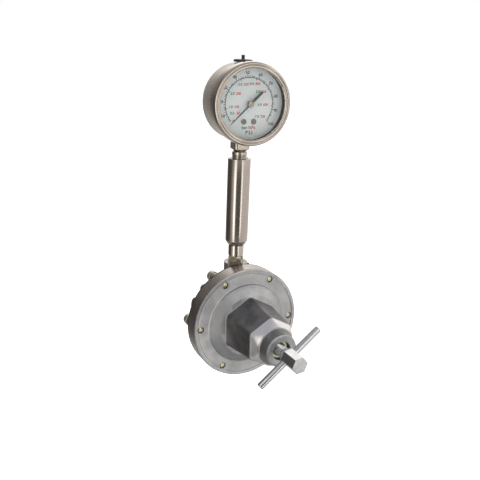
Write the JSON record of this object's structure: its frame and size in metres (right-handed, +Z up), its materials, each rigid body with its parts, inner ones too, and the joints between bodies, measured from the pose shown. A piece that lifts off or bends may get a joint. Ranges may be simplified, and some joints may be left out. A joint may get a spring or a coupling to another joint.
{
  "type": "pressure regulator",
  "caption": "Diaphragm pressure regulator with T-handle adjuster, side ports and a round dial gauge on a tall extension tube.",
  "frame": {"origin": "centre of the flat mounting pad on the back of the body, on the regulator's axis", "axes": "+Z up along the extension tube to the gauge, -Y along the regulator's axis towards the T-handle, +X towards the outlet port"},
  "size_m": [0.1012, 0.1482, 0.2816],
  "materials": {
    "cast_aluminium": "as cast, machined rim and nose",
    "cast_steel": "cast stainless steel, blasted",
    "plated_steel": "bright zinc plate",
    "zinc_yellow": "pale yellow zinc plate",
    "spring_steel": "dark oiled spring wire",
    "stainless": "turned and polished",
    "brass": "plain",
    "bronze": "sintered or spring bronze",
    "rubber": "moulded, matte",
    "dial_white": "matte white enamel with printed scales",
    "pointer_black": "satin black",
    "glass": "clear flat glass"
  },
  "bodies": {
    "root": {"body": "cast_steel", "spring_cap": "cast_aluminium", "thread_bush": "zinc_yellow", "range_spring": "spring_steel", "diaphragm": "rubber", "flange_screw_1": "zinc_yellow", "flange_screw_2": "zinc_yellow", "flange_screw_3": "zinc_yellow", "flange_screw_4": "zinc_yellow", "flange_screw_5": "zinc_yellow", "flange_screw_6": "zinc_yellow", "valve_seat": "stainless", "seat_o_ring": "rubber", "valve_spring": "spring_steel", "gauge_nipple": "stainless", "extension_tube": "stainless", "restrictor_disc": "bronze", "gauge_case": "stainless", "gauge_bezel": "stainless", "gauge_window": "glass", "window_gasket": "rubber", "vent_plug": "rubber", "gauge_socket": "stainless", "socket_seal": "rubber", "bourdon_tube": "brass", "hairspring": "bronze", "movement_back_plate": "brass", "movement_front_plate": "brass", "movement_pillar_1": "brass", "movement_pillar_2": "brass", "movement_pillar_3": "brass", "gauge_dial": "dial_white", "dial_screw_1": "plated_steel", "dial_screw_2": "plated_steel"},
    "button": {"spring_button": "plated_steel"},
    "handle": {"adjusting_screw": "plated_steel", "cross_bar": "plated_steel"},
    "diaphragm_stack": {"diaphragm_plate": "plated_steel", "diaphragm_nut": "plated_steel", "diaphragm_pusher": "stainless"},
    "poppet": {"valve_poppet": "stainless"},
    "pointer": {"gauge_pointer": "pointer_black", "pointer_arbor": "brass"},
    "sector": {"sector_gear": "brass"},
    "bourdon_end": {"bourdon_tip": "brass", "tip_link": "brass"}
  },
  "joints": [
    {"name": "screw_advance", "type": "slide", "parent": "root", "child": "button", "axis": [0, 1, 0], "range_m": [0, 0.00834], "deforming": ["range_spring"]},
    {"name": "handle_turn", "type": "hinge", "parent": "button", "child": "handle", "pos_m": [0, -0.1325, 0], "axis": [0, 1, 0], "range_deg": [0, 1890]},
    {"name": "diaphragm_travel", "type": "slide", "parent": "root", "child": "diaphragm_stack", "axis": [0, 1, 0], "range_m": [0, 0.0012], "stiffness_N_per_m": 2000, "springref_m": -0.0005, "deforming": ["diaphragm"]},
    {"name": "valve_lift", "type": "slide", "parent": "root", "child": "poppet", "axis": [0, 1, 0], "range_m": [0, 0.0012], "deforming": ["valve_spring"]},
    {"name": "pointer_turn", "type": "hinge", "parent": "root", "child": "pointer", "pos_m": [0, -0.03186, 0.1924], "axis": [0.076, 0.9971, 0], "range_deg": [0, 265.8], "stiffness_Nm_per_rad": 0.002, "springref_deg": -17.19, "deforming": ["hairspring"]},
    {"name": "sector_swing", "type": "hinge", "parent": "root", "child": "sector", "pos_m": [0, -0.03186, 0.1824], "axis": [0.076, 0.9971, 0], "range_deg": [-38, 0]},
    {"name": "tip_travel", "type": "slide", "parent": "root", "child": "bourdon_end", "axis": [0, 0, 1], "range_m": [0, 0.00521], "deforming": ["bourdon_tube"]}
  ],
  "couplings": [
    {"joint": "screw_advance", "follows": "handle_turn", "m_per_rad": 0.00025266},
    {"joint": "valve_lift", "follows": "diaphragm_travel", "ratio": 1},
    {"joint": "sector_swing", "follows": "pointer_turn", "ratio": -0.14286},
    {"joint": "tip_travel", "follows": "pointer_turn", "m_per_rad": 0.0011218}
  ]
}
